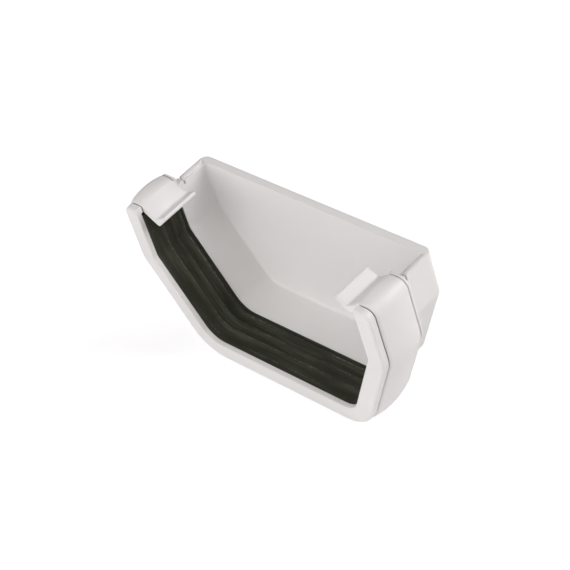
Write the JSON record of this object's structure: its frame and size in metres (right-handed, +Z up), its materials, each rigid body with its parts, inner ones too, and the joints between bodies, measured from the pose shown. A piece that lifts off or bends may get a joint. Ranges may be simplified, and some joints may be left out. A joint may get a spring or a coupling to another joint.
{
  "type": "gutter end cap",
  "caption": "White moulded stop end for a square-section rain gutter: a crowned clip-on socket with a ribbed black rubber seal, thumb-flap clips and a closed end plate.",
  "frame": {"origin": "middle of the gutter's underside in the plane of the socket's mouth, at the mount gutter_socket", "axes": "+X across the gutter, +Y along the gutter into the cap towards the end plate, +Z up"},
  "size_m": [0.1314, 0.0402, 0.072],
  "materials": {
    "white_pvc": "smooth moulded PVC-U with a soft gloss",
    "black_epdm": "satin EPDM rubber"
  },
  "bodies": {
    "root": {"cap_body": "white_pvc", "seal_retainer": "white_pvc", "gutter_seal": "black_epdm"}
  },
  "joints": []
}
